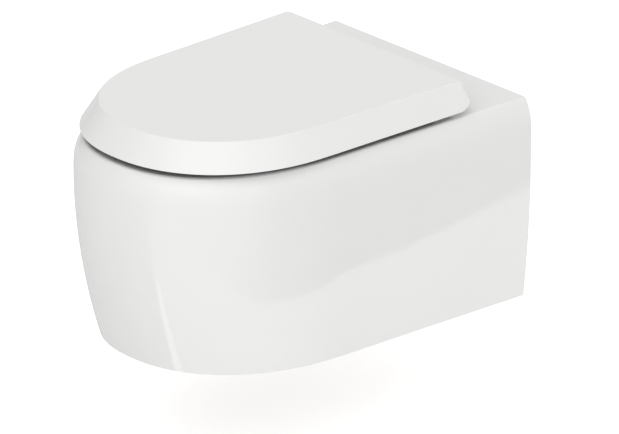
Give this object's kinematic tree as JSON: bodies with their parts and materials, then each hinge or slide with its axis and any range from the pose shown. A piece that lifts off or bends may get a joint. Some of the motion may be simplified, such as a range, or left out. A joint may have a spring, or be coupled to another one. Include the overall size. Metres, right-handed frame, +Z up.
{
  "type": "wall hung toilet",
  "caption": "Skirted ceramic pan that hangs on a wall, with a hinged seat ring under a wrap-over soft-closing lid with a sloping facet all round.",
  "frame": {"origin": "midway between the two wall fixing holes, on the wall plane", "axes": "+Z up, +Y into the wall, so the pan reaches towards -Y; +X to the right of a person who faces the wall"},
  "size_m": [0.37, 0.531, 0.305],
  "materials": {
    "glaze": "white glaze",
    "seat_plastic": "white thermoset, glossy",
    "buffer_rubber": "soft, pale grey",
    "anchor_rubber": "matt black",
    "hinge_chrome": "polished",
    "steel": "plain stainless",
    "spring_steel": "drawn",
    "zinc_steel": "zinc plated",
    "damper_plastic": "moulded, black",
    "bush_plastic": "moulded, off-white",
    "guide_plastic": "moulded, white"
  },
  "bodies": {
    "pan": {"pan": "glaze", "deck": "glaze", "rear_wall": "glaze", "bowl": "glaze", "sump": "glaze", "trap": "glaze", "flush_channel": "glaze", "hinge_posts": "hinge_chrome", "hinge_bolts": "steel", "post_gaskets": "buffer_rubber", "anchor_bushes": "anchor_rubber", "anchor_nuts": "steel", "fixing_sleeves": "bush_plastic", "fixing_washers": "zinc_steel", "fixing_nuts": "zinc_steel", "flush_guide": "guide_plastic"},
    "hinge_carrier": {"hinge_elbow_left": "hinge_chrome", "hinge_elbow_right": "hinge_chrome", "elbow_clips": "spring_steel", "hinge_pins": "steel"},
    "seat": {"seat_ring": "seat_plastic", "seat_buffers": "buffer_rubber", "seat_arms": "hinge_chrome", "seat_arm_screws": "steel", "seat_damper": "damper_plastic", "seat_hinge_bush": "bush_plastic"},
    "lid": {"lid": "seat_plastic", "lid_buffers": "buffer_rubber", "lid_arms": "hinge_chrome", "lid_arm_screws": "steel", "lid_damper": "damper_plastic", "lid_hinge_bush": "bush_plastic"}
  },
  "joints": [
    {"name": "lift_off", "type": "slide", "parent": "pan", "child": "hinge_carrier", "axis": [0, 0, 1], "range_m": [0, 0.03], "deforming": ["elbow_clips"]},
    {"name": "seat_hinge", "type": "hinge", "parent": "hinge_carrier", "child": "seat", "pos_m": [0, -0.098, 0.108], "axis": [-1, 0, 0], "range_deg": [0, 92]},
    {"name": "lid_hinge", "type": "hinge", "parent": "seat", "child": "lid", "pos_m": [0, -0.098, 0.108], "axis": [-1, 0, 0], "range_deg": [0, 94]}
  ]
}
